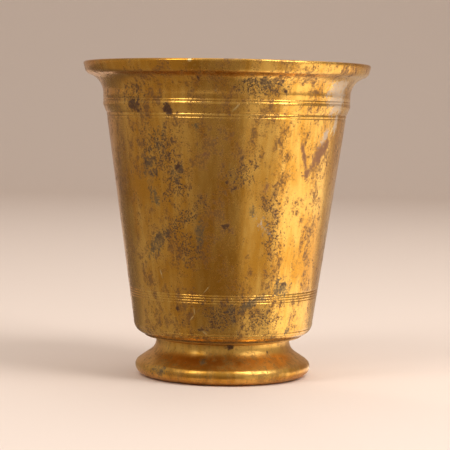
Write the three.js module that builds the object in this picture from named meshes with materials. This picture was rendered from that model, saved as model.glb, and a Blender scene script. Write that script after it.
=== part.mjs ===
// Brass ritual cup: a cast and lathe-turned beaker with a thick flared lip and engraved rings,
// brazed onto a separately cast, hollow, flared foot.
// Units are millimetres, +Z is up, and the origin is the centre of the circle the foot stands on.
// Each piece is one profile turned about Z, so a profile below is a list of (radius, height) points
// that runs up the outside, over the top and back down the inside.

import * as THREE from 'three';

// Smoothness of the turned forms
const TURN_SEGMENTS = 64;
const ARC_STEP = THREE.MathUtils.degToRad(13);

// Foot
const FOOT_SEAT_HEIGHT = 11.85;
const FOOT_FLANGE_RADIUS = 22.5;
const FOOT_FLANGE_EDGE = 0.3;
const FOOT_NECK_HEIGHT = 10.7;
const FOOT_NECK_RADIUS = 19.12;
const FOOT_RIM_RADIUS = 25.05;
const FOOT_RIM_HEIGHT = 2.4;
const FOOT_REST_OUTER_RADIUS = 21.4;
const FOOT_REST_INNER_RADIUS = 19.4;
const FOOT_CROWN_RADIUS = 3.5;
const FOOT_CROWN_SWEEP = THREE.MathUtils.degToRad(68);
const FOOT_SWEEP_RADIUS = 6.0;
const FOOT_WALL = 2.6;
const FOOT_BORE_RADIUS = 15.0;
const FOOT_BORE_LENGTH = 1.6;

// Braze between foot and beaker
const BRAZE_THICKNESS = 0.3;
const BRAZE_OVERHANG = 0.2;
const SPIGOT_CLEARANCE = 0.3;
const SPIGOT_PROJECTION = 1.5;

// Beaker, heights above its own underside
const CUP_HEIGHT = 76.65;
const CUP_BASE_RADIUS = 22.5;
const SHOULDER_RADIUS = 25.6;
const SHOULDER_HEIGHT = 3.6;
const BODY_TOP_RADIUS = 34.05;
const BODY_TOP_HEIGHT = 62.35;
const NECK_RADIUS = 35.05;
const NECK_FOOT_HEIGHT = 64.65;
const NECK_TOP_HEIGHT = 67.75;
const FLARE_RADIUS = 5.6;
const FLARE_SWEEP = THREE.MathUtils.degToRad(76);
const LIP_RADIUS = 40.7;
const LIP_TAPER = 0.55;
const LIP_HEIGHT = 2.55;
const LIP_ROUND = 0.6;
const LIP_FLAT_WIDTH = 1.7;
const CUP_WALL = 2.6;
const FLOOR_THICKNESS = 3.3;
const FLOOR_CORNER_RADIUS = 6.0;
const MOUTH_EASE_HEIGHT = 8.6;

// Engraved rings, each a V groove cut into the turned surface
const GROOVE_WIDTH = 0.34;
const GROOVE_DEPTH = 0.16;
const NECK_LINE_HEIGHTS = [65.55, 66.25];
const COLLAR_LINE_HEIGHTS = [61.35, 62.35];
const BAND_LINE_COUNT = 4;
const BAND_LINE_PITCH = 0.72;
const BAND_FIRST_HEIGHT = 11.1;
const SHOULDER_LINE_HEIGHTS = [1.4, 2.25];

const CUP_SEAT_HEIGHT = FOOT_SEAT_HEIGHT + BRAZE_THICKNESS;
const point = (radius, height) => new THREE.Vector2(radius, height);

// Points of a circular arc about (centreR, centreZ) from one angle to another, both ends included
function arc(centreR, centreZ, radius, from, to) {
  const steps = Math.max(2, Math.ceil(Math.abs(to - from) / ARC_STEP));
  const points = [];
  for (let i = 0; i <= steps; i += 1) {
    const angle = from + ((to - from) * i) / steps;
    points.push(point(centreR + radius * Math.cos(angle), centreZ + radius * Math.sin(angle)));
  }
  return points;
}

// Radius of a rising outline at a height, read between its own points
function radiusAt(outline, height) {
  for (let i = 1; i < outline.length; i += 1) {
    const low = outline[i - 1];
    const high = outline[i];
    if (height >= low.y && height <= high.y && high.y > low.y) {
      return THREE.MathUtils.lerp(low.x, high.x, (height - low.y) / (high.y - low.y));
    }
  }
  return outline[outline.length - 1].x;
}

// The same rising outline with a V groove cut into it at each height
function engrave(outline, heights) {
  const cuts = [...heights].sort((a, b) => a - b);
  const half = GROOVE_WIDTH / 2;
  const kept = outline.filter((p) => cuts.every((cut) => Math.abs(p.y - cut) > half));
  for (const cut of cuts) {
    const groove = [
      point(radiusAt(outline, cut - half), cut - half),
      point(radiusAt(outline, cut) - GROOVE_DEPTH, cut),
      point(radiusAt(outline, cut + half), cut + half),
    ];
    const at = kept.findIndex((p) => p.y > cut);
    kept.splice(at < 0 ? kept.length : at, 0, ...groove);
  }
  return kept;
}

// A solid of revolution from its profile, turned so that the profile's height runs along +Z
function turned(profile) {
  const geometry = new THREE.LatheGeometry(profile, TURN_SEGMENTS);
  geometry.rotateX(Math.PI / 2);
  return geometry;
}

// Outside of the beaker, from the edge of its underside to the foot of the lip
function beakerOutline() {
  const rise = SHOULDER_HEIGHT;
  const run = SHOULDER_RADIUS - CUP_BASE_RADIUS;
  const shoulder = [];
  const steps = 7;
  for (let i = 0; i <= steps; i += 1) {
    const t = (Math.PI / 2) * (i / steps);
    shoulder.push(point(CUP_BASE_RADIUS + run * Math.sin(t), rise * (1 - Math.cos(t))));
  }
  const flareCentre = NECK_RADIUS + FLARE_RADIUS;
  const flare = arc(flareCentre, NECK_TOP_HEIGHT, FLARE_RADIUS, Math.PI, Math.PI - FLARE_SWEEP);
  const outline = [
    ...shoulder,
    point(BODY_TOP_RADIUS, BODY_TOP_HEIGHT),
    point(NECK_RADIUS, NECK_FOOT_HEIGHT),
    ...flare,
  ];
  const band = Array.from({ length: BAND_LINE_COUNT }, (_, i) => BAND_FIRST_HEIGHT + i * BAND_LINE_PITCH);
  return engrave(outline, [
    ...SHOULDER_LINE_HEIGHTS,
    ...band,
    ...COLLAR_LINE_HEIGHTS,
    ...NECK_LINE_HEIGHTS,
  ]);
}

// The lip: a thick band with a rounded outer corner and a flat top, easing into the mouth
function lipOutline() {
  const lower = point(LIP_RADIUS - LIP_TAPER, CUP_HEIGHT - LIP_HEIGHT);
  const corner = arc(LIP_RADIUS - LIP_ROUND, CUP_HEIGHT - LIP_ROUND, LIP_ROUND, 0, Math.PI / 2);
  const inner = LIP_RADIUS - LIP_ROUND - LIP_FLAT_WIDTH;
  const edge = arc(inner, CUP_HEIGHT - LIP_ROUND, LIP_ROUND, Math.PI / 2, Math.PI);
  return [lower, ...corner, ...edge];
}

// Inside of the beaker from the mouth down to the middle of its floor
function beakerHollow() {
  const slope = (BODY_TOP_RADIUS - SHOULDER_RADIUS) / (BODY_TOP_HEIGHT - SHOULDER_HEIGHT);
  const wallRadius = (height) => SHOULDER_RADIUS - CUP_WALL + slope * (height - SHOULDER_HEIGHT);
  const mouthRadius = LIP_RADIUS - 2 * LIP_ROUND - LIP_FLAT_WIDTH;
  const easeTop = CUP_HEIGHT - LIP_ROUND;
  const easeFoot = CUP_HEIGHT - MOUTH_EASE_HEIGHT;
  const ease = [];
  const steps = 6;
  for (let i = 1; i <= steps; i += 1) {
    const t = (Math.PI / 2) * (i / steps);
    const radius = mouthRadius - (mouthRadius - wallRadius(easeFoot)) * Math.sin(t);
    ease.push(point(radius, easeFoot + (easeTop - easeFoot) * (1 - t / (Math.PI / 2)) ** 1.5));
  }
  const floor = FLOOR_THICKNESS;
  const cornerTop = floor + FLOOR_CORNER_RADIUS;
  const cornerR = wallRadius(cornerTop) - FLOOR_CORNER_RADIUS;
  const corner = arc(cornerR, cornerTop, FLOOR_CORNER_RADIUS, 0, -Math.PI / 2);
  return [...ease, ...corner, point(0, floor)];
}

// Beaker: floor, wall and lip in one casting, with a spigot under the floor that centres the foot
function cupBody() {
  const spigotRadius = FOOT_BORE_RADIUS - SPIGOT_CLEARANCE;
  const profile = [
    point(0, -SPIGOT_PROJECTION),
    point(spigotRadius, -SPIGOT_PROJECTION),
    point(spigotRadius, 0),
    ...beakerOutline(),
    ...lipOutline(),
    ...beakerHollow(),
  ];
  return turned(profile);
}

// Foot: a flange under the beaker, a drawn-in neck, a swept skirt and an open hollow below
function foot() {
  const crownR = FOOT_RIM_RADIUS - FOOT_CROWN_RADIUS;
  const crown = arc(crownR, FOOT_RIM_HEIGHT, FOOT_CROWN_RADIUS, 0, FOOT_CROWN_SWEEP);
  const reach = FOOT_CROWN_RADIUS + FOOT_SWEEP_RADIUS;
  const sweepR = crownR + reach * Math.cos(FOOT_CROWN_SWEEP);
  const sweepZ = FOOT_RIM_HEIGHT + reach * Math.sin(FOOT_CROWN_SWEEP);
  const neckAngle = Math.PI + Math.asin((sweepZ - FOOT_NECK_HEIGHT) / FOOT_SWEEP_RADIUS);
  const sweep = arc(sweepR, sweepZ, FOOT_SWEEP_RADIUS, Math.PI + FOOT_CROWN_SWEEP, neckAngle).slice(1);
  const edgeRun = FOOT_RIM_RADIUS - FOOT_REST_OUTER_RADIUS;
  const edge = [];
  const edgeSteps = 5;
  for (let i = 0; i < edgeSteps; i += 1) {
    const t = (Math.PI / 2) * (i / edgeSteps);
    edge.push(point(FOOT_REST_OUTER_RADIUS + edgeRun * Math.sin(t), FOOT_RIM_HEIGHT * (1 - Math.cos(t))));
  }
  const boreFoot = FOOT_SEAT_HEIGHT - FOOT_BORE_LENGTH;
  const innerRadius = FOOT_SWEEP_RADIUS + FOOT_WALL;
  const topAngle = Math.PI + Math.asin((sweepZ - boreFoot) / innerRadius);
  const lowAngle = Math.PI + Math.acos((sweepR - FOOT_REST_INNER_RADIUS) / innerRadius);
  const hollow = arc(sweepR, sweepZ, innerRadius, topAngle, lowAngle);
  const profile = [
    ...edge,
    ...crown,
    ...sweep,
    point(FOOT_FLANGE_RADIUS, FOOT_SEAT_HEIGHT - FOOT_FLANGE_EDGE),
    point(FOOT_FLANGE_RADIUS, FOOT_SEAT_HEIGHT),
    point(FOOT_BORE_RADIUS, FOOT_SEAT_HEIGHT),
    point(FOOT_BORE_RADIUS, boreFoot),
    ...hollow,
    point(FOOT_REST_INNER_RADIUS, 0),
    point(FOOT_REST_OUTER_RADIUS, 0),
  ];
  return turned(profile);
}

// Braze: the thin ring of filler metal that the beaker is bedded in, a little proud of the joint
function brazeRing() {
  const outer = Math.max(FOOT_FLANGE_RADIUS, CUP_BASE_RADIUS) + BRAZE_OVERHANG;
  const profile = [
    point(FOOT_BORE_RADIUS, 0),
    point(outer, 0),
    point(outer, BRAZE_THICKNESS),
    point(FOOT_BORE_RADIUS, BRAZE_THICKNESS),
    point(FOOT_BORE_RADIUS, 0),
  ];
  return turned(profile);
}

// A named mesh with a brass finish of its own, lifted to its height above the table
function piece(name, geometry, height, color, roughness) {
  const material = new THREE.MeshStandardMaterial({ color, roughness, metalness: 1 });
  const mesh = new THREE.Mesh(geometry, material);
  mesh.name = name;
  mesh.position.z = height;
  return mesh;
}

const cup = new THREE.Group();
cup.add(
  piece('cup_body', cupBody(), CUP_SEAT_HEIGHT, 0xa9782c, 0.36),
  piece('foot', foot(), 0, 0xb0823a, 0.3),
  piece('braze_seam', brazeRing(), FOOT_SEAT_HEIGHT, 0x6e4e22, 0.6),
);

export default cup;
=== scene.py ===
"""Looks of the brass ritual cup: fine turned meshes and aged-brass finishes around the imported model."""

import logging
import math
from abc import ABC, abstractmethod
from dataclasses import dataclass
from enum import Enum
from typing import Any

import bmesh
import bpy
import numpy as np
from mathutils import Matrix, Vector, noise


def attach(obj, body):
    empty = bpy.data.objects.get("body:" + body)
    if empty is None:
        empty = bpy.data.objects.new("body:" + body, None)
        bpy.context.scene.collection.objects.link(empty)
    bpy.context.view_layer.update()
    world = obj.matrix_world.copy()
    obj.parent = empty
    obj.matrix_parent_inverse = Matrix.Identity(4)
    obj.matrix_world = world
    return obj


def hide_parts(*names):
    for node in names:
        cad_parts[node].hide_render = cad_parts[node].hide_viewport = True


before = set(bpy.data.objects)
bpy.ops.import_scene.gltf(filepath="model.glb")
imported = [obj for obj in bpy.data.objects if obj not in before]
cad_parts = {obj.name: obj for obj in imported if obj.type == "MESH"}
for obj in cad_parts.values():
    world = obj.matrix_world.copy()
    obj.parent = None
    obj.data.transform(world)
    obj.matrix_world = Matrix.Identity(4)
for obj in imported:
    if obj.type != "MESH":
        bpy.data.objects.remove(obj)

logging.basicConfig(level=logging.INFO, format="%(message)s")
log = logging.getLogger("ritual_cup")

MM = 0.001
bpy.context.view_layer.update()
Point = tuple[float, float]
Colour = tuple[float, float, float]

# The camera's side of the cup, in degrees from +X.
FRONT = -90.0
# A Mix node repeats its socket names for each kind of value, so its colours go by number.
MIX_FIRST = 6
MIX_SECOND = 7
MIX_RESULT = 2
NOISE_MIDDLE = 0.5
# The vertex attribute that says how far a place is kept from wear.
SHELTER = "shelter"
# Vertices nearer than this are one, in metres, and heights nearer than this are level, in millimetres.
WELD = 1e-7
LEVEL = 1e-9


class Channel:
    """A shader socket that takes part in Python arithmetic."""

    def __init__(self, graph: "Graph", socket: bpy.types.NodeSocket) -> None:
        """Wraps an output socket.

        Args:
            graph: The graph that the socket belongs to.
            socket: The output socket.
        """
        self.graph = graph
        self.socket = socket

    def __add__(self, other: Any) -> "Channel":
        """Sum."""
        return self.graph.maths("ADD", self, other)

    def __radd__(self, other: Any) -> "Channel":
        """Sum with a number on the left."""
        return self.graph.maths("ADD", other, self)

    def __sub__(self, other: Any) -> "Channel":
        """Difference."""
        return self.graph.maths("SUBTRACT", self, other)

    def __rsub__(self, other: Any) -> "Channel":
        """Difference from a number."""
        return self.graph.maths("SUBTRACT", other, self)

    def __mul__(self, other: Any) -> "Channel":
        """Product."""
        return self.graph.maths("MULTIPLY", self, other)

    def __rmul__(self, other: Any) -> "Channel":
        """Product with a number on the left."""
        return self.graph.maths("MULTIPLY", other, self)

    def swing(self, reach: float) -> "Channel":
        """A noise from 0 to 1 as a swing about zero."""
        return (self - NOISE_MIDDLE) * reach

    def toward(self, target: float, share: "Channel") -> "Channel":
        """The value moved towards a target by a share from 0 to 1."""
        return self + (target - self) * share

    def clipped(self) -> "Channel":
        """The value held between 0 and 1."""
        return self.graph.node("ShaderNodeClamp", {}, {0: self})


class Graph:
    """A node tree whose nodes are all made by one method."""

    def __init__(self, tree: bpy.types.NodeTree) -> None:
        """Wraps a node tree."""
        self.tree = tree

    def join(self, slot: bpy.types.NodeSocket, value: Any) -> None:
        """Links a channel to an input, or sets the input to a constant.

        Args:
            slot: The input.
            value: A channel or a constant.
        """
        if isinstance(value, Channel):
            self.tree.links.new(value.socket, slot)
        else:
            slot.default_value = value

    def node(
        self, kind: str, settings: dict[str, Any], sockets: dict[Any, Any], out: str | int = 0
    ) -> Channel:
        """Adds a node.

        Args:
            kind: The node's type.
            settings: The node's own settings, set first.
            sockets: Values or channels for its inputs, by name or number.
            out: The output to return.

        Returns:
            The chosen output.
        """
        made = self.tree.nodes.new(kind)
        for key, value in settings.items():
            setattr(made, key, value)
        for key, value in sockets.items():
            self.join(made.inputs[key], value)
        return Channel(self, made.outputs[out])

    def maths(self, operation: str, first: Any, second: Any) -> Channel:
        """Adds one two-sided Math node."""
        return self.node("ShaderNodeMath", {"operation": operation}, {0: first, 1: second})

    def attribute(self, name: str) -> Channel:
        """Reads a number from a vertex attribute."""
        return self.node("ShaderNodeAttribute", {"attribute_name": name}, {}, "Fac")

    def ramp(self, value: Channel, low: float, high: float) -> Channel:
        """0 at low and 1 at high, smooth between; falling when low is above high."""
        limits = {"Value": value, "From Min": low, "From Max": high}
        return self.node("ShaderNodeMapRange", {"interpolation_type": "SMOOTHSTEP"}, limits)

    def blend(self, share: Channel, first: Channel | Colour, second: Channel | Colour) -> Channel:
        """Mixes two colours.

        Args:
            share: Share of the second colour, from 0 to 1.
            first: Colour at 0.
            second: Colour at 1.

        Returns:
            The mixed colour.
        """
        pair = [value if isinstance(value, Channel) else (*value, 1) for value in (first, second)]
        sockets = {0: share, MIX_FIRST: pair[0], MIX_SECOND: pair[1]}
        return self.node("ShaderNodeMix", {"data_type": "RGBA"}, sockets, MIX_RESULT)


@dataclass(frozen=True)
class Cloud:
    """A cloud noise of the finish.

    Attributes:
        across: Repeats for each millimetre along X and Y.
        along: Repeats for each millimetre along Z.
        detail: Octaves.
        rough: Strength of each next octave.
        shift: Offset that makes the pattern its own.
    """

    across: float
    along: float
    detail: float
    rough: float
    shift: float


BROAD = Cloud(0.045, 0.045, 3, 0.5, 1)
CLOUDY = Cloud(0.19, 0.1, 6, 0.66, 3)
DRIFT = Cloud(0.5, 0.06, 4, 0.6, 5)
BLOT = Cloud(0.62, 0.4, 5, 0.72, 7)
FINE = Cloud(1.7, 1.7, 4, 0.65, 9)
SPECK = Cloud(3.4, 3.4, 2, 0.5, 11)
TURNING = Cloud(0.02, 4.5, 3, 0.6, 13)
HAIR = Cloud(0.22, 0.3, 1.5, 0.4, 17)


class Shader(Graph):
    """A material with one Principled shader under construction."""

    def __init__(self, name: str) -> None:
        """Starts the material.

        Args:
            name: The material's name.
        """
        self.material = bpy.data.materials.new(name)
        self.material.use_nodes = True
        super().__init__(self.material.node_tree)
        self.surface = self.tree.nodes["Principled BSDF"]
        self.coords = self.node("ShaderNodeTexCoord", {}, {}, "Object")

    def feed(self, name: str, value: Any) -> None:
        """Joins a channel or a constant to the Principled shader."""
        self.join(self.surface.inputs[name], value)

    def cloud(self, kind: Cloud) -> Channel:
        """Adds a cloud noise.

        Args:
            kind: Its scale, detail and place.

        Returns:
            The noise, from 0 to 1.
        """
        size = (kind.across / MM, kind.across / MM, kind.along / MM)
        placed = {"Vector": self.coords, "Scale": size, "Location": (kind.shift,) * 3}
        where = self.node("ShaderNodeMapping", {}, placed)
        sockets = {"Vector": where, "Scale": 1.0, "Detail": kind.detail, "Roughness": kind.rough}
        return self.node("ShaderNodeTexNoise", {}, sockets)


class Stain(Enum):
    """Kinds of mark that have a place of their own."""

    SMEAR = "grey-green smear"
    SCAR = "pinkish scar"
    SPECKLED = "cluster of dark specks"
    DARK = "brown-black patch"
    LIME = "whitish bloom"
    BRIGHT = "bright scratch or nick"

    @property
    def layer(self) -> str:
        """Name of the vertex attribute that it is painted on."""
        return self.name.lower()


@dataclass(frozen=True)
class Look:
    """How a stain changes the brass under it.

    Attributes:
        colour: Its colour.
        metallic: Its metallic value.
        roughness: Its roughness.
        ragged: How far noise moves its edge.
        grain: Share of it that is broken into specks.
    """

    colour: Colour
    metallic: float
    roughness: float
    ragged: float
    grain: float


LOOKS = {
    Stain.SMEAR: Look((0.145, 0.10, 0.05), 0.6, 0.46, 1.1, 0.3),
    Stain.SCAR: Look((0.27, 0.12, 0.052), 0.6, 0.5, 0.55, 0.1),
    Stain.SPECKLED: Look((0.09, 0.045, 0.02), 0.4, 0.5, 1.2, 1.0),
    Stain.DARK: Look((0.07, 0.026, 0.01), 0.35, 0.5, 0.7, 0.1),
    Stain.LIME: Look((0.58, 0.47, 0.36), 0.45, 0.45, 1.0, 0.4),
    Stain.BRIGHT: Look((0.92, 0.66, 0.30), 1.0, 0.3, 0.35, 0.1),
}
# How far fine and coarse noise move a stain's edge, before its own raggedness.
FINE_EDGE = 2.0
COARSE_EDGE = 3.0
# Strength of a mark at which it starts, may be whole, and is whole where noise has moved it.
EDGE_START = 0.0
EDGE_END = 0.4
BODY_END = 1.1
# Noise at which a speck ends and starts, and how far fine noise moves that.
SPECK_END = 0.56
SPECK_START = 0.48
SPECK_SWING = 0.5

# The outside of the wall, as a radius at a height and its growth with height.
WALL_HEIGHT = 15
WALL_RADIUS = 26
WALL_SLOPE = 0.145
# Half the depth of a mark, in millimetres, which keeps it off the inside of the wall.
MARK_DEPTH = 1.6
# Strength of a painted and of a drawn mark at its middle. It falls by 1 to the mark's stated size.
PAINTED_PEAK = 1.75
DRAWN_PEAK = 1.6


@dataclass(frozen=True)
class Mark:
    """A stain at a named place on the cup's side, as a flat ellipsoid.

    Attributes:
        stain: Its kind.
        turn: Degrees round from the front towards +X.
        height: Height of its middle, in millimetres as every length here.
        wide: Half its width.
        tall: Half its height.
        lean: Degrees clockwise from upright.
        share: Its strength.
        radius: Distance of its middle from the axis, or 0 for the outside of the wall.
    """

    stain: Stain
    turn: float
    height: float
    wide: float
    tall: float
    lean: float = 0.0
    share: float = 1.0
    radius: float = 0.0

    def centre(self) -> Vector:
        """Places the mark's middle.

        Returns:
            The middle, in metres.
        """
        angle = math.radians(self.turn)
        radius = self.radius or WALL_RADIUS + WALL_SLOPE * (self.height - WALL_HEIGHT)
        return Vector((radius * math.sin(angle), -radius * math.cos(angle), self.height)) * MM

    def facing(self) -> Matrix:
        """The mark's turn: its own X runs along its width, its Y inwards and its Z along its height."""
        about = Matrix.Rotation(math.radians(self.turn), 3, "Z")
        return about @ Matrix.Rotation(math.radians(self.lean), 3, "Y")

    def size(self) -> tuple[float, float, float]:
        """Half of its width, depth and height, in metres."""
        return (self.wide * MM, MARK_DEPTH * MM, self.tall * MM)

    def painted(self, where: np.ndarray) -> np.ndarray:
        """Strength of the mark at each vertex, falling evenly from its middle.

        Args:
            where: Positions, one row each.

        Returns:
            The strengths, from 0 up.
        """
        local = (where - np.array(self.centre())) @ np.array(self.facing()) / np.array(self.size())
        return np.clip(PAINTED_PEAK - np.linalg.norm(local, axis=1), 0, None) * self.share

    def drawn(self, s: Shader) -> Channel:
        """Strength of the mark in a shader, for lines finer than the mesh.

        Args:
            s: The material under construction.

        Returns:
            The strength, below 0 far away.
        """
        sockets = {
            "Vector": s.coords,
            "Location": tuple(self.centre()),
            "Rotation": tuple(self.facing().to_euler()),
            "Scale": self.size(),
        }
        local = s.node("ShaderNodeMapping", {"vector_type": "TEXTURE"}, sockets)
        reach = s.node("ShaderNodeVectorMath", {"operation": "LENGTH"}, {0: local}, "Value")
        return (DRAWN_PEAK - reach) * self.share


@dataclass(frozen=True)
class Layer:
    """A kind of ageing that noise spreads over the whole piece.

    Attributes:
        start: Noise at which it begins.
        full: Noise at which it is whole.
        share: Its share of the colour when it is whole.
        bent: How far a second noise moves its edge.
        dulls: Metal that it takes away.
        frayed: How far fine noise moves its edge.
        kept: How much more of it a sheltered place has.
        roughens: Roughness that it adds.
        sinks: How deep it lies in the relief.
    """

    start: float
    full: float
    share: float
    bent: float
    dulls: float
    frayed: float = 0.0
    kept: float = 0.0
    roughens: float = 0.0
    sinks: float = 0.0


FILM = Layer(0.45, 0.64, 0.55, bent=0.9, dulls=0.25, frayed=0.4, kept=0.25, roughens=0.14)
CRUST = Layer(0.57, 0.7, 0.6, bent=0.9, dulls=0.5, frayed=0.8, kept=0.12, roughens=0.22, sinks=0.4)
PITS = Layer(0.63, 0.69, 0.8, bent=0.35, dulls=0.4, sinks=0.7)

# Share of broad noise in the mix of clean and warm brass, and the noise at its two ends.
BROAD_SHARE = 0.6
WARM_START = 0.4
WARM_END = 0.6
# A scratch runs along the middle of hair noise. Its edge and core are distances from it.
HAIR_EDGE = 0.0016
HAIR_CORE = 0.0006
SCRATCH_START = 0.5
SCRATCH_END = 0.58
SCRATCH_SHARE = 0.5
# Roughness and relief that the grain and the lathe's lines add.
FINE_ROUGHNESS = 0.12
LATHE_ROUGHNESS = 0.06
LATHE_RELIEF = 0.25
FINE_RELIEF = 0.4
BLOT_RELIEF = 0.7
SCRATCH_RELIEF = 0.5
BUMP_STRENGTH = 0.35
BUMP_DEPTH = 0.09


@dataclass(frozen=True)
class AgedBrass:
    """Worn, turned brass with brown patina, stains and fine scratches.

    Attributes:
        name: The material's name.
        clean: Colour of bare brass.
        warm: Colour of redder brass.
        tarnish: Colour of the film.
        patina: Colour of the crust and the pits.
        roughness: Roughness of bare brass.
        wear: Strength of the film, the crust and the pits.
        relief: Strength of the relief.
        marks: The stains with a place of their own.
    """

    name: str
    clean: Colour = (0.76, 0.43, 0.10)
    warm: Colour = (0.58, 0.27, 0.035)
    tarnish: Colour = (0.34, 0.145, 0.03)
    patina: Colour = (0.10, 0.045, 0.016)
    roughness: float = 0.23
    wear: float = 1.0
    relief: float = 1.0
    marks: tuple[Mark, ...] = ()

    def dress(self) -> bpy.types.Material:
        """Builds the material.

        Returns:
            The node-based material.
        """
        s = Shader(self.name)
        cloud = s.cloud(CLOUDY)
        drift = s.cloud(DRIFT)
        blot = s.cloud(BLOT)
        fine = s.cloud(FINE)
        speck = s.cloud(SPECK)
        turning = s.cloud(TURNING)
        shelter = s.attribute(SHELTER)

        warmth = s.cloud(BROAD) * BROAD_SHARE + drift * (1 - BROAD_SHARE)
        tone = s.blend(s.ramp(warmth, WARM_START, WARM_END), self.clean, self.warm)
        kept = shelter * FILM.kept
        film = self.spread(s, FILM, cloud + blot.swing(FILM.bent) + fine.swing(FILM.frayed) + kept)
        tone = s.blend(film, tone, self.tarnish)
        kept = shelter * CRUST.kept
        crust = self.spread(s, CRUST, blot + cloud.swing(CRUST.bent) + fine.swing(CRUST.frayed) + kept)
        tone = s.blend(crust, tone, self.patina)
        pits = self.spread(s, PITS, speck + cloud.swing(PITS.bent))
        tone = s.blend(pits, tone, self.patina)
        scratch = self.scratched(s, drift)
        tone = s.blend(scratch, tone, LOOKS[Stain.BRIGHT].colour)

        metal = (1 - (film * FILM.dulls + crust * CRUST.dulls + pits * PITS.dulls)).clipped()
        even = self.roughness - (FINE_ROUGHNESS + LATHE_ROUGHNESS) / 2
        grain = fine * FINE_ROUGHNESS + turning * LATHE_ROUGHNESS
        rough = (grain + film * FILM.roughens + crust * CRUST.roughens + even).clipped()
        height = turning * LATHE_RELIEF + fine * FINE_RELIEF + blot * BLOT_RELIEF
        height = height - pits * PITS.sinks - crust * CRUST.sinks - scratch * SCRATCH_RELIEF
        for stain, look in LOOKS.items():
            mask = self.placed(s, stain, fine, blot, speck)
            if mask is not None:
                tone = s.blend(mask, tone, look.colour)
                metal = metal.toward(look.metallic, mask)
                rough = rough.toward(look.roughness, mask)
        s.feed("Base Color", tone)
        s.feed("Metallic", metal)
        s.feed("Roughness", rough)
        bump = {"Height": height, "Strength": BUMP_STRENGTH * self.relief, "Distance": BUMP_DEPTH * MM}
        s.feed("Normal", s.node("ShaderNodeBump", {}, bump))
        return s.material

    def spread(self, s: Shader, layer: Layer, field: Channel) -> Channel:
        """Mask of one layer of ageing, from the noise that places it."""
        return s.ramp(field, layer.start, layer.full) * (layer.share * self.wear)

    def scratched(self, s: Shader, drift: Channel) -> Channel:
        """Mask of the fine scratches.

        Args:
            s: The material under construction.
            drift: Noise that says where they are.

        Returns:
            The mask.
        """
        off = s.cloud(HAIR) - NOISE_MIDDLE
        line = s.ramp(s.node("ShaderNodeMath", {"operation": "ABSOLUTE"}, {0: off}), HAIR_EDGE, HAIR_CORE)
        return line * s.ramp(drift, SCRATCH_START, SCRATCH_END) * SCRATCH_SHARE

    def placed(
        self, s: Shader, stain: Stain, fine: Channel, blot: Channel, speck: Channel
    ) -> Channel | None:
        """Mask of one kind of stain over the whole piece.

        Args:
            s: The material under construction.
            stain: The kind.
            fine: Fine noise that breaks up each edge.
            blot: Coarser noise that bends each edge.
            speck: The finest noise, which makes specks.

        Returns:
            A channel from 0 to 1, or None when the piece has no such stain.
        """
        look = LOOKS[stain]
        marks = [mark for mark in self.marks if mark.stain is stain]
        if not marks:
            return None
        if stain is Stain.BRIGHT:
            strength = marks[0].drawn(s)
            for mark in marks[1:]:
                strength = s.maths("MAXIMUM", strength, mark.drawn(s))
        else:
            strength = s.attribute(stain.layer)
        ragged = fine.swing(FINE_EDGE * look.ragged) + blot.swing(COARSE_EDGE * look.ragged)
        mask = s.ramp(strength, EDGE_START, EDGE_END) * s.ramp(strength + ragged, EDGE_END, BODY_END)
        return mask * (1 - s.ramp(speck + fine.swing(SPECK_SWING), SPECK_END, SPECK_START) * look.grain)


def arc(centre: Point, radius: float, start: float, end: float, steps: int) -> list[Point]:
    """Points of a circular arc.

    Args:
        centre: Middle of the circle.
        radius: Its radius.
        start: First angle in degrees.
        end: Last angle in degrees.
        steps: Number of spans.

    Returns:
        The points, both ends included.
    """
    angles = [math.radians(start + (end - start) * i / steps) for i in range(steps + 1)]
    return [(centre[0] + radius * math.cos(a), centre[1] + radius * math.sin(a)) for a in angles]


def between(low: Point, high: Point, share: float) -> Point:
    """The point at a share of the way from one point to another."""
    return (low[0] + (high[0] - low[0]) * share, low[1] + (high[1] - low[1]) * share)


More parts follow.
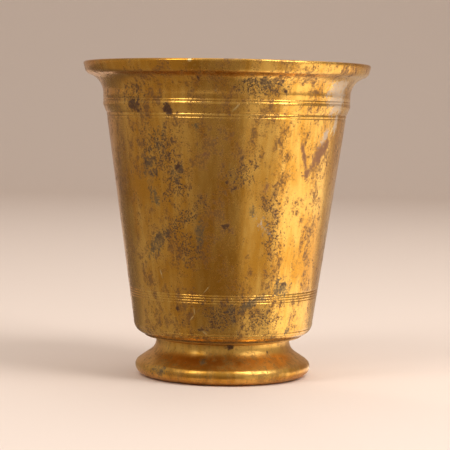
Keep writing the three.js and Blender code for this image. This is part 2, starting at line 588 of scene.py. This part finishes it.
@dataclass
class Turned(ABC):
    """A piece turned about Z from a profile of (radius, height) points in millimetres.

    Attributes:
        name: The piece's name.
        node: The CAD node that it stands for.
        slot: A material slot name, which is not used.
        finish: Its finish.
        steps: Spans round the axis.
        wobble: How far the surface strays from true, in millimetres.
        waves: Repeats of the straying for each metre.
        ripples: Repeats of its finer part for each metre.
        ripple_share: Strength of the finer part.
    """

    name: str
    node: str
    slot: str
    finish: AgedBrass
    steps: int = 384
    wobble: float = 0.03
    waves: float = 90
    ripples: float = 280
    ripple_share: float = 0.4

    @abstractmethod
    def profile(self) -> list[Point]:
        """The profile, which closes on the axis or on itself."""

    @abstractmethod
    def shelter(self, radius: float, height: float) -> float:
        """How far a point is kept from wear, from 0 in the open to 1 in the deepest corner."""

    def build(self) -> bpy.types.Object:
        """Spins the profile and dresses the piece.

        Returns:
            The finished object.
        """
        points = self.profile()
        mesh = bpy.data.meshes.new(self.name)
        bm = bmesh.new()
        verts = [bm.verts.new((r * MM, 0, z * MM)) for r, z in points]
        edges = [bm.edges.new(pair) for pair in zip(verts, verts[1:])]
        if points[0][0] > 0:
            edges.append(bm.edges.new((verts[-1], verts[0])))
        whole = {"cent": (0, 0, 0), "axis": (0, 0, 1), "angle": math.tau, "use_merge": True}
        bmesh.ops.spin(bm, geom=verts + edges, steps=self.steps, **whole)
        bmesh.ops.remove_doubles(bm, verts=bm.verts, dist=WELD)
        bmesh.ops.recalc_face_normals(bm, faces=bm.faces)
        self.age(bm)
        bm.to_mesh(mesh)
        bm.free()
        mesh.polygons.foreach_set("use_smooth", [True] * len(mesh.polygons))
        self.paint(mesh)
        piece = bpy.data.objects.new(self.name, mesh)
        bpy.context.scene.collection.objects.link(piece)
        mesh.materials.append(self.finish.dress())
        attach(piece, "root")
        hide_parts(self.node)
        return piece

    def paint(self, mesh: bpy.types.Mesh) -> None:
        """Paints each kind of placed stain on the vertices, which the finish then breaks up.

        Args:
            mesh: The finished mesh.
        """
        where = np.empty(3 * len(mesh.vertices))
        mesh.vertices.foreach_get("co", where)
        where = where.reshape(-1, 3)
        for stain in Stain:
            marks = [mark for mark in self.finish.marks if mark.stain is stain]
            if marks and stain is not Stain.BRIGHT:
                layer = mesh.attributes.new(stain.layer, "FLOAT", "POINT")
                layer.data.foreach_set("value", np.max([mark.painted(where) for mark in marks], axis=0))

    def age(self, bm: bmesh.types.BMesh) -> None:
        """Marks the sheltered places and moves the surface a little, as hand turning and use leave it.

        Args:
            bm: The spun mesh.
        """
        layer = bm.verts.layers.float.new(SHELTER)
        for vert in bm.verts:
            away = Vector((vert.co.x, vert.co.y, 0))
            vert[layer] = self.shelter(away.length / MM, vert.co.z / MM)
            if away.length > MM:
                push = noise.noise(vert.co * self.waves)
                push += self.ripple_share * noise.noise(vert.co * self.ripples)
                vert.co += away.normalized() * push * self.wobble * MM


@dataclass
class Beaker(Turned):
    """The cast beaker with its lip and engraved rings.

    Attributes:
        spigot: The underside's profile, from the axis to the foot's flange.
        base: Radius and height of the outside's lower edge.
        shoulder: Width and height of the rounded shoulder.
        top: Radius and height of the wall's upper end.
        bevel: Points of the step under the throat.
        throat: Middle of the throat's hollow round.
        throat_radius: Its radius.
        throat_end: Degrees round from +X at which it ends.
        rim: Points from the throat to the lip's edge.
        lip_outside: Middle of the lip's outer round.
        lip_inside: Middle of the lip's inner round.
        lip_radius: Radius of both.
        wall_steps: Spans of the outside of the wall.
        inside_steps: Spans of the straight inside.
        ease_steps: Spans of the eased mouth.
        ease_power: How late the mouth's curve turns down.
        wall_top: Radius and height where the mouth meets the straight inside.
        wall_foot: Radius and height of the inside's lower end.
        corner: Middle of the floor's corner.
        corner_radius: Its radius.
        floor: Height of the floor.
        floor_radii: Where the floor has its points.
        lines: Heights of the engraved rings.
        groove_width: Width of a ring.
        groove_depth: Depth of a ring.
        groove_margin: How much wider than a ring the stretch without plain points is.
        shade_radius: Radius at the inside's lower end within which a point is inside.
        shade_slope: Its growth with height.
        shade_heights: Heights inside at which the shelter starts to grow and is whole.
        shade_least: Shelter near the mouth.
        crease: Shelter at the outside's lower edge, and its loss for each millimetre up.
    """

    spigot: tuple[Point, ...] = ((0, 10.65), (14.2, 10.65), (14.7, 11.0), (14.7, 12.15))
    base: Point = (22.5, 12.15)
    shoulder: Point = (3.1, 3.6)
    top: Point = (34.05, 74.5)
    bevel: tuple[Point, ...] = ((34.4, 75.3), (34.75, 76.1), (35.05, 76.8))
    throat: Point = (40.65, 79.9)
    throat_radius: float = 5.6
    throat_end: float = 104
    rim: tuple[Point, ...] = ((40.0, 86.0), (40.18, 86.3), (40.45, 87.3))
    lip_outside: Point = (40.1, 88.2)
    lip_inside: Point = (38.4, 88.2)
    lip_radius: float = 0.6
    wall_steps: int = 90
    inside_steps: int = 20
    ease_steps: int = 12
    ease_power: float = 1.5
    wall_top: Point = (32.2, 80.2)
    wall_foot: Point = (23.83, 21.45)
    corner: Point = (17.8, 21.45)
    corner_radius: float = 6.0
    floor: float = 15.42
    floor_radii: tuple[float, ...] = (14, 10, 5, 1, 0)
    lines: tuple[float, ...] = (13.55, 14.4, 23.25, 23.97, 24.69, 25.41, 73.5, 74.5, 77.7, 78.4)
    groove_width: float = 0.34
    groove_depth: float = 0.13
    groove_margin: float = 1.05
    shade_radius: float = 24.4
    shade_slope: float = 0.1424
    shade_heights: Point = (50, 15)
    shade_least: float = 0.45
    crease: Point = (0.7, 0.35)

    def outline(self) -> list[Point]:
        """The outside from the underside's edge to the lip.

        Returns:
            The points, rising.
        """
        wide, tall = self.shoulder
        turns = [math.radians(a) for a in range(0, 91, 5)]
        shoulder = [
            (self.base[0] + wide * math.sin(a), self.base[1] + tall * (1 - math.cos(a))) for a in turns
        ]
        start = (self.base[0] + wide, self.base[1] + tall)
        body = [between(start, self.top, i / self.wall_steps) for i in range(1, self.wall_steps + 1)]
        throat = arc(self.throat, self.throat_radius, 180, self.throat_end, steps=18)
        return shoulder + body + list(self.bevel) + throat

    def engraved(self, outline: list[Point]) -> list[Point]:
        """The outline with a rounded groove at each ring.

        Args:
            outline: The plain outline, rising.

        Returns:
            The engraved outline.
        """
        half = self.groove_width / 2
        clear = half * self.groove_margin
        kept = [p for p in outline if all(abs(p[1] - z) > clear for z in self.lines)]
        for z in self.lines:
            for i in range(-2, 3):
                height = z + half * i / 2
                low, high = next((a, b) for a, b in zip(outline, outline[1:]) if a[1] <= height <= b[1])
                share = (height - low[1]) / max(high[1] - low[1], LEVEL)
                radius = between(low, high, share)[0]
                kept.append((radius - self.groove_depth * math.cos(math.pi / 4 * i), height))
        return sorted(kept, key=lambda p: p[1])

    def profile(self) -> list[Point]:
        """The profile, from the spigot round the outside and back to the floor.

        Returns:
            The points, from axis to axis.
        """
        lip = list(self.rim) + arc(self.lip_outside, self.lip_radius, 0, 90, steps=8)
        lip += arc(self.lip_inside, self.lip_radius, 90, 180, steps=8)
        mouth = (self.lip_inside[0] - self.lip_radius, self.lip_inside[1])
        ease = []
        for i in range(1, self.ease_steps + 1):
            share = i / self.ease_steps
            radius = mouth[0] - (mouth[0] - self.wall_top[0]) * math.sin(math.pi / 2 * share)
            fall = (1 - share) ** self.ease_power
            ease.append((radius, self.wall_top[1] + (mouth[1] - self.wall_top[1]) * fall))
        steps = self.inside_steps
        wall = [between(self.wall_top, self.wall_foot, i / steps) for i in range(1, steps)]
        corner = arc(self.corner, self.corner_radius, 0, -90, steps=9)
        floor = [(radius, self.floor) for radius in self.floor_radii]
        return list(self.spigot) + self.engraved(self.outline()) + lip + ease + wall + corner + floor

    def shelter(self, radius: float, height: float) -> float:
        """The inside is sheltered, most of all near its floor; outside only the shoulder's foot is.

        Args:
            radius: Distance from the axis.
            height: Height.

        Returns:
            The shelter, from 0 to 1.
        """
        inner = self.shade_radius + self.shade_slope * (height - self.wall_foot[1])
        high, low = self.shade_heights
        if radius < inner and height > low:
            depth = max(0.0, (high - height) / (high - low))
            return min(1.0, self.shade_least + (1 - self.shade_least) * depth)
        return max(0.0, self.crease[0] - (height - self.base[1]) * self.crease[1])


@dataclass
class Foot(Turned):
    """The hollow flared foot.

    Attributes:
        heel: Radius of the underside's flat, where the rounded edge starts.
        edge: Width and height of the rounded edge.
        brow: Middle of the round over the edge.
        brow_radius: Its radius.
        flare: The angle in degrees at which the flare leaves the round and meets the neck.
        cone: Points of the flare.
        neck: Middle of the neck's hollow round.
        neck_radius: Its radius.
        neck_end: Degrees round from +X at which it meets the flange.
        flange: Points of the flange, from the neck to the spigot's seat.
        dome: Middle of the round that shapes the hollow.
        dome_radius: Its radius.
        seat: Height where the hollow meets the spigot's seat.
        hollow: Radius of the hollow near the floor.
        rest: Points of the underside.
        shade_radius: Radius within which a point is in the hollow.
        underside: Radius and height of the sheltered part of the underside.
        crease: Height at which the flange's shelter starts, and its growth for each millimetre up.
    """

    heel: float = 21.4
    edge: Point = (3.55, 2.94)
    brow: Point = (23.05, 2.94)
    brow_radius: float = 1.9
    flare: float = 55.6
    cone: tuple[Point, ...] = ((23.2, 5.14), (22.3, 5.76), (21.5, 6.3))
    neck: Point = (23.05, 10.1)
    neck_radius: float = 4.0
    neck_end: float = 170
    flange: tuple[Point, ...] = (
        (20.3, 11.08),
        (21.6, 11.36),
        (22.3, 11.5),
        (22.5, 11.65),
        (22.5, 11.85),
        (15, 11.85),
        (15, 10.25),
    )
    dome: Point = (25.1, 11.2)
    dome_radius: float = 8.6
    seat: float = 10.25
    hollow: float = 19.4
    rest: tuple[Point, ...] = ((19.4, 0.3), (19.6, 0), (21.2, 0))
    shade_radius: float = 18.5
    underside: Point = (21, 1.0)
    crease: Point = (9.6, 0.4)

    def profile(self) -> list[Point]:
        """The profile, from the edge over the neck and the flange and back through the hollow.

        Returns:
            The points, which close on themselves.
        """
        wide, tall = self.edge
        turns = [math.radians(a) for a in range(0, 90, 6)]
        edge = [(self.heel + wide * math.sin(a), tall * (1 - math.cos(a))) for a in turns]
        brow = arc(self.brow, self.brow_radius, 0, self.flare, steps=12)
        neck = arc(self.neck, self.neck_radius, 180 + self.flare, self.neck_end, steps=20)
        high = 180 + math.degrees(math.asin((self.dome[1] - self.seat) / self.dome_radius))
        low = 180 + math.degrees(math.acos((self.dome[0] - self.hollow) / self.dome_radius))
        hollow = arc(self.dome, self.dome_radius, high, low, steps=16)
        return edge + brow + list(self.cone) + neck + list(self.flange) + hollow + list(self.rest)

    def shelter(self, radius: float, height: float) -> float:
        """The hollow and the crease under the flange are sheltered.

        Args:
            radius: Distance from the axis.
            height: Height.

        Returns:
            The shelter, from 0 to 1.
        """
        under = radius < self.underside[0] and height < self.underside[1]
        if radius < self.shade_radius or under:
            return 1.0
        return max(0.0, (height - self.crease[0]) * self.crease[1])


@dataclass
class Braze(Turned):
    """The uneven ring of filler metal.

    Attributes:
        bore: Radius of the hole round the spigot.
        lower: Height of the underside.
        upper: Height of the top.
        flat: Radius to which both are flat.
        bead: Middle of the bead at the edge.
        bead_radius: Its radius.
        bead_angle: Degrees up and down to which it reaches.
        kept: Shelter of the whole seam.
    """

    wobble: float = 0.14
    bore: float = 15
    lower: float = 11.86
    upper: float = 12.14
    flat: float = 22.2
    bead: Point = (22.45, 12.0)
    bead_radius: float = 0.3
    bead_angle: float = 60
    kept: float = 0.8

    def profile(self) -> list[Point]:
        """A thin washer with a rounded, proud edge.

        Returns:
            The points, which close on themselves.
        """
        bead = arc(self.bead, self.bead_radius, -self.bead_angle, self.bead_angle, steps=8)
        under = [(self.bore, self.lower), (self.flat, self.lower)]
        return under + bead + [(self.flat, self.upper), (self.bore, self.upper)]

    def shelter(self, radius: float, height: float) -> float:
        """The whole seam is sheltered."""
        return self.kept


@dataclass(frozen=True)
class SoftBox:
    """An oblong lamp that faces the cup.

    Attributes:
        name: The lamp's name.
        azimuth: Degrees round from the camera's side towards +X.
        elevation: Degrees above the floor.
        away: Distance from the cup in metres.
        wide: Width in metres.
        tall: Height in metres.
        power: Power in watts.
    """

    name: str
    azimuth: float
    elevation: float
    away: float
    wide: float
    tall: float
    power: float


@dataclass(frozen=True)
class PaintedReflection:
    """A flat glowing card on the floor that only reflections show: a painted reflection, bright or dark,
    on the metal.

    Attributes:
        name: The card's name.
        start: First direction, in degrees round from the camera's side towards +X.
        end: Last direction.
        glow: Its glow, the colour of the painted reflection.
    """

    name: str
    start: float
    end: float
    glow: Colour


@dataclass
class Studio:
    """Pale sweep, soft lights, glowing cards that paint reflections on the metal, and the camera.

    Attributes:
        distance: The camera's distance from the axis in millimetres, as its height and its step aside.
        height: Its height.
        sideways: Its step aside towards +X.
        focal: Its focal length.
        sensor: Width of its sensor.
        near: Its nearest distance in metres.
        pitch: Degrees that it looks down.
        roll: Degrees that it rolls.
        cloth: Colour of the sweep.
        cloth_roughness: Its roughness.
        cloth_shine: Its specular level.
        sweep_half: Half the sweep's width in metres, as the other lengths of the sweep and the lamps.
        sweep_start: Depths of the floor's two front edges.
        sweep_bend: Middle of the curve behind the cup.
        sweep_top: Height of the backdrop.
        fill: Colour of the even fill.
        fill_strength: Its strength.
        aim: Height that the lamps face.
        boxes: The lamps.
        reflection_ring: Inner and outer radius of the glowing cards.
        reflection_height: Height of the cards in millimetres.
        painted_reflections: The glowing cards, which paint reflections.
    """

    distance: float = 477.8
    height: float = 72.45
    sideways: float = 0.1
    focal: float = 134.0
    sensor: float = 36
    near: float = 0.01
    pitch: float = 3.542
    roll: float = 0.95
    cloth: Colour = (0.86, 0.715, 0.615)
    cloth_roughness: float = 0.9
    cloth_shine: float = 0.1
    sweep_half: float = 3.5
    sweep_start: Point = (-3.0, -1.0)
    sweep_bend: Point = (1.15, 0.6)
    sweep_top: float = 2.4
    fill: Colour = (1.0, 0.95, 0.9)
    fill_strength: float = 0.46
    aim: float = 0.045
    boxes: tuple[SoftBox, ...] = (
        SoftBox("right_box", 56, 45, 0.75, 0.3, 0.6, 3.6),
        SoftBox("left_box", -46, 45, 0.8, 0.22, 0.5, 1.6),
        SoftBox("back_box", 165, 65, 1.0, 0.9, 0.9, 2.4),
    )
    reflection_ring: Point = (0.027, 0.7)
    reflection_height: float = 0.6
    # Painted reflections: glowing cards that only glossy rays see, dark in front and at the left edge,
    # bright at the right.
    painted_reflections: tuple[PaintedReflection, ...] = (
        PaintedReflection("left_edge_reflection", -150, -112, (0.22, 0.18, 0.14)),
        PaintedReflection("left_reflection", -112, -31, (0.42, 0.36, 0.29)),
        PaintedReflection("front_reflection", -31, 17, (0.27, 0.22, 0.17)),
        PaintedReflection("half_reflection", 17, 53, (0.75, 0.68, 0.58)),
        PaintedReflection("right_reflection", 52, 121, (1.75, 1.62, 1.45)),
        PaintedReflection("right_edge_reflection", 121, 170, (0.6, 0.52, 0.44)),
    )

    def build(self) -> None:
        """Makes the sweep, the world, the lamps, the glowing cards that paint reflections, and the
        camera.
        """
        self.sweep()
        self.world()
        for box in self.boxes:
            self.lamp(box)
        for painted_reflection in self.painted_reflections:
            self.lay_reflection(painted_reflection)
        self.camera()

    def place(self, name: str, bm: bmesh.types.BMesh, material: bpy.types.Material) -> bpy.types.Object:
        """Makes a stage object of a mesh under construction.

        Args:
            name: The object's name.
            bm: Its mesh, freed here.
            material: Its material.

        Returns:
            The object.
        """
        mesh = bpy.data.meshes.new(name)
        bm.to_mesh(mesh)
        bm.free()
        mesh.materials.append(material)
        mesh.polygons.foreach_set("use_smooth", [True] * len(mesh.polygons))
        thing = bpy.data.objects.new(name, mesh)
        bpy.context.scene.collection.objects.link(thing)
        return thing

    def sweep(self) -> None:
        """A plain pale floor that curves up into a backdrop behind the cup."""
        bm = bmesh.new()
        depth, rise = self.sweep_bend
        side = [(start, 0.0) for start in self.sweep_start]
        side += arc((depth, rise), rise, -90, 0, steps=32) + [(depth + rise, self.sweep_top)]
        verts = [bm.verts.new((-self.sweep_half, y, z)) for y, z in side]
        edges = [bm.edges.new(pair) for pair in zip(verts, verts[1:])]
        grown = bmesh.ops.extrude_edge_only(bm, edges=edges)["geom"]
        far = [part for part in grown if isinstance(part, bmesh.types.BMVert)]
        bmesh.ops.translate(bm, verts=far, vec=(2 * self.sweep_half, 0, 0))
        s = Shader("pale_cloth")
        s.feed("Base Color", (*self.cloth, 1))
        s.feed("Roughness", self.cloth_roughness)
        s.feed("Specular IOR Level", self.cloth_shine)
        self.place("floor", bm, s.material)

    def world(self) -> None:
        """An even pale fill."""
        world = bpy.data.worlds.new("studio")
        bpy.context.scene.world = world
        world.use_nodes = True
        back = world.node_tree.nodes["Background"]
        back.inputs["Color"].default_value = (*self.fill, 1)
        back.inputs["Strength"].default_value = self.fill_strength

    def lamp(self, box: SoftBox) -> None:
        """Hangs a soft box.

        Args:
            box: The soft box.
        """
        data = bpy.data.lights.new(box.name, "AREA")
        data.energy = box.power
        data.shape = "RECTANGLE"
        data.size = box.wide
        data.size_y = box.tall
        a, e = math.radians(box.azimuth), math.radians(box.elevation)
        back = Vector((math.sin(a) * math.cos(e), -math.cos(a) * math.cos(e), math.sin(e)))
        lamp = bpy.data.objects.new(box.name, data)
        lamp.location = Vector((0, 0, self.aim)) + back * box.away
        lamp.rotation_euler = back.to_track_quat("Z", "Y").to_euler()
        bpy.context.scene.collection.objects.link(lamp)

    def lay_reflection(self, painted_reflection: PaintedReflection) -> None:
        """Lays a glowing card round the cup, a hair above the floor, as a painted reflection that the
        camera, diffuse light and shadows don't see.

        Args:
            painted_reflection: The card.
        """
        start = math.radians(painted_reflection.start + FRONT)
        lift = self.reflection_height * MM
        bm = bmesh.new()
        ends = [bm.verts.new((r * math.cos(start), r * math.sin(start), lift)) for r in self.reflection_ring]
        edge = bm.edges.new(ends)
        span = math.radians(painted_reflection.end - painted_reflection.start)
        bmesh.ops.spin(bm, geom=[*ends, edge], cent=(0, 0, 0), axis=(0, 0, 1), angle=span, steps=24)
        s = Shader(painted_reflection.name)
        s.feed("Base Color", (0, 0, 0, 1))
        s.feed("Specular IOR Level", 0.0)
        # The glow is a painted reflection: only glossy rays see the card.
        s.feed("Emission Color", (*painted_reflection.glow, 1))
        s.feed("Emission Strength", 1.0)
        thing = self.place(painted_reflection.name, bm, s.material)
        thing.visible_camera = False
        thing.visible_diffuse = False
        thing.visible_shadow = False

    def camera(self) -> None:
        """The camera at the photographed angle."""
        data = bpy.data.cameras.new("camera")
        data.sensor_width = self.sensor
        data.lens = self.focal
        data.clip_start = self.near
        camera = bpy.data.objects.new("camera", data)
        tilt = Matrix.Rotation(math.radians(90 - self.pitch), 4, "X")
        roll = Matrix.Rotation(math.radians(self.roll), 4, "Z")
        where = Vector((self.sideways, -self.distance, self.height)) * MM
        camera.matrix_world = Matrix.Translation(where) @ tilt @ roll
        bpy.context.scene.collection.objects.link(camera)
        bpy.context.scene.camera = camera


BODY_MARKS = (
    Mark(Stain.DARK, -46, 76.4, 2.4, 2.3, 10, 0.85),
    Mark(Stain.DARK, -43, 81.0, 0.6, 2.2, 5, 0.6),
    Mark(Stain.DARK, -27, 75.3, 1.3, 1.9, -5),
    Mark(Stain.DARK, -12, 83.7, 0.5, 0.5, 0, 0.9),
    Mark(Stain.SMEAR, 16, 83.0, 5.5, 1.5, 8, 0.8),
    Mark(Stain.SPECKLED, 15, 82.0, 6.5, 2.6),
    Mark(Stain.DARK, 26.5, 80.5, 0.55, 1.6, -40, 0.85),
    Mark(Stain.DARK, 9, 81.0, 0.5, 1.4, 12, 0.7),
    Mark(Stain.DARK, 12, 84.0, 0.45, 0.45, 0, 0.7),
    Mark(Stain.BRIGHT, -14, 88.3, 0.6, 0.5, 0, 1.0, 40.6),
    Mark(Stain.BRIGHT, 4, 76.0, 0.34, 1.7, 42, 0.85),
    Mark(Stain.LIME, 60, 80.0, 4.6, 6.6, 0, 1.0),
    Mark(Stain.LIME, 63, 71.7, 1.3, 2.6, 8, 1.0),
    Mark(Stain.LIME, 54, 68.6, 1.1, 3.2, 38, 0.85),
    Mark(Stain.BRIGHT, 60, 70.4, 0.35, 1.8, 25, 1.0),
    Mark(Stain.SCAR, 41, 62.8, 0.8, 4.6, -20, 0.9),
    Mark(Stain.SCAR, 51.5, 63.6, 2.0, 6.4, 44, 0.95),
    Mark(Stain.SCAR, 44.5, 58.6, 1.3, 1.6, 10, 0.85),
    Mark(Stain.SCAR, 21, 54.6, 1.9, 1.9, 0, 0.6),
    Mark(Stain.SMEAR, -14, 71.4, 0.9, 1.0, 0, 0.75),
    Mark(Stain.SMEAR, -14, 69.5, 0.6, 0.9, 0, 0.45),
    Mark(Stain.LIME, -4, 68.0, 1.4, 1.4, 0, 0.22),
    Mark(Stain.SCAR, -10, 63.6, 1.5, 0.9, 0, 0.55),
    Mark(Stain.SMEAR, -40, 60.0, 3.0, 5.0, 0, 0.7),
    Mark(Stain.SMEAR, -33, 69.0, 3.6, 1.6, 0, 0.6),
    Mark(Stain.SMEAR, -33, 65.5, 1.6, 2.4, 0, 0.6),
    Mark(Stain.DARK, -43, 60.8, 0.4, 0.4, 0, 0.8),
    Mark(Stain.DARK, -24, 60.0, 0.6, 1.6, 25, 1.0),
    Mark(Stain.DARK, -28, 55.5, 0.5, 0.9, 25, 0.9),
    Mark(Stain.SMEAR, -25, 58.5, 1.8, 3.4, 20, 0.8),
    Mark(Stain.SMEAR, -38, 51.3, 1.8, 2.6, 0, 0.8),
    Mark(Stain.DARK, 0.3, 56.0, 1.0, 0.55, -30, 1.0),
    Mark(Stain.DARK, 4.6, 54.6, 0.9, 0.7, -30, 1.0),
    Mark(Stain.SPECKLED, -27, 43.4, 2.4, 12.0, 50),
    Mark(Stain.SMEAR, -40, 38.6, 1.8, 6.4, 42, 0.95),
    Mark(Stain.SPECKLED, -20, 37.0, 3.0, 5.0, 0, 0.9),
    Mark(Stain.SMEAR, -13, 41.8, 1.2, 3.2, 0, 0.95),
    Mark(Stain.DARK, 0.5, 44.3, 1.0, 1.0, 0, 1.0),
    Mark(Stain.DARK, 2.2, 43.5, 0.45, 0.6, 0, 0.7),
    Mark(Stain.SPECKLED, 26, 42.0, 3.0, 15.0, -6, 0.75),
    Mark(Stain.SCAR, 27, 45.0, 1.0, 6.0, -8, 0.55),
    Mark(Stain.SMEAR, 14, 48.5, 1.6, 1.6, 0, 0.7),
    Mark(Stain.LIME, 20, 44.5, 1.6, 4.6, -28, 0.4),
    Mark(Stain.SMEAR, 35, 27.0, 3.0, 2.4, 20, 0.95),
    Mark(Stain.DARK, 35, 28.2, 2.2, 0.9, 0, 0.6),
    Mark(Stain.SMEAR, 15, 22.8, 1.0, 5.0, 60, 1.0),
    Mark(Stain.DARK, 19, 24.6, 0.7, 2.2, 62, 0.5),
    Mark(Stain.SMEAR, 22, 24.4, 1.2, 1.2, 0, 0.8),
    Mark(Stain.SMEAR, 4.5, 21.3, 1.1, 1.3, 0, 1.0),
    Mark(Stain.SMEAR, 6.5, 18.0, 0.5, 3.2, -18, 0.8),
    Mark(Stain.DARK, -28, 21.3, 0.6, 1.5, -8, 0.75),
    Mark(Stain.DARK, -29.5, 17.6, 0.28, 1.1, -12, 0.8),
    Mark(Stain.DARK, -25, 17.6, 0.28, 1.1, 18, 0.8),
    Mark(Stain.DARK, -21, 16.7, 0.4, 1.5, -60, 0.8),
    Mark(Stain.DARK, -14, 15.8, 0.5, 1.8, 85, 0.9),
    Mark(Stain.DARK, -6, 16.6, 2.2, 1.9, 10, 0.7),
    Mark(Stain.SPECKLED, 0, 19.2, 7.5, 4.0),
    Mark(Stain.SPECKLED, 24, 18.5, 6.0, 4.0, 0, 0.8),
    Mark(Stain.SPECKLED, -33, 62.0, 7.0, 9.0, 0, 0.8),
    Mark(Stain.SPECKLED, -25, 54.0, 4.0, 5.0, 0, 0.8),
    Mark(Stain.SPECKLED, -46, 79.0, 5.0, 3.5, 0, 0.8),
    Mark(Stain.SPECKLED, 8, 58.0, 4.5, 4.0, 0, 0.7),
    Mark(Stain.BRIGHT, -11, 14.9, 0.35, 0.9, -55, 1.0),
    Mark(Stain.SCAR, 45, 17.8, 0.5, 3.4, 6, 0.7),
    Mark(Stain.SMEAR, 44, 14.8, 1.0, 1.6, 8, 0.7),
    Mark(Stain.BRIGHT, -10, 26.8, 0.2, 1.8, 40, 0.85),
    Mark(Stain.BRIGHT, -17.4, 20.9, 0.2, 1.5, -4, 0.85),
    Mark(Stain.BRIGHT, -19, 18.9, 0.18, 1.2, 40, 0.85),
    Mark(Stain.BRIGHT, -38, 30.6, 0.2, 1.6, -16, 0.8),
    Mark(Stain.SMEAR, 150, 60.0, 3.0, 5.0, 10, 0.5),
    Mark(Stain.SPECKLED, 118, 44.0, 4.0, 12.0, 20, 0.9),
    Mark(Stain.SCAR, -95, 48.0, 1.0, 6.0, 35, 0.6),
    Mark(Stain.DARK, -120, 70.0, 1.1, 1.5, 0, 0.8),
    Mark(Stain.SMEAR, -150, 30.0, 4.0, 3.0, 0, 0.5),
    Mark(Stain.SPECKLED, 175, 24.0, 6.0, 4.0, 0, 0.9),
    Mark(Stain.BRIGHT, 135, 66.0, 0.22, 2.4, 30, 0.8),
    Mark(Stain.DARK, 96, 78.5, 1.4, 1.0, 0, 0.8),
)

FOOT_MARKS = (
    Mark(Stain.DARK, 6, 10.3, 1.6, 0.8, 0, 0.8, 19.6),
    Mark(Stain.SMEAR, -14, 6.4, 0.9, 0.9, 0, 0.9, 22.2),
    Mark(Stain.SMEAR, -45, 3.4, 3.0, 1.6, 0, 0.6, 24.8),
    Mark(Stain.DARK, 30, 3.8, 0.7, 0.7, 0, 0.55, 24.6),
    Mark(Stain.DARK, 40, 8.6, 0.35, 0.35, 0, 0.9, 20.0),
)

BODY_BRASS = AgedBrass("aged_brass", marks=BODY_MARKS)
FOOT_BRASS = AgedBrass("foot_brass", wear=0.5, roughness=0.34, relief=0.7, marks=FOOT_MARKS)
BRAZE_BRASS = AgedBrass("dark_braze", clean=(0.33, 0.2, 0.07), warm=(0.2, 0.12, 0.05), roughness=0.5)


def main() -> None:
    """Builds the studio and the three pieces."""
    Studio().build()
    pieces = (
        Beaker("cup_body_turned", "cup_body", "aged_brass", BODY_BRASS),
        Foot("foot_turned", "foot", "foot_brass", FOOT_BRASS),
        Braze("braze_seam_ring", "braze_seam", "braze", BRAZE_BRASS),
    )
    for piece in pieces:
        made = piece.build()
        log.info("%s: %d faces", made.name, len(made.data.polygons))
    bpy.context.scene.view_settings.view_transform = "Standard"


if __name__ == "__main__":
    main()
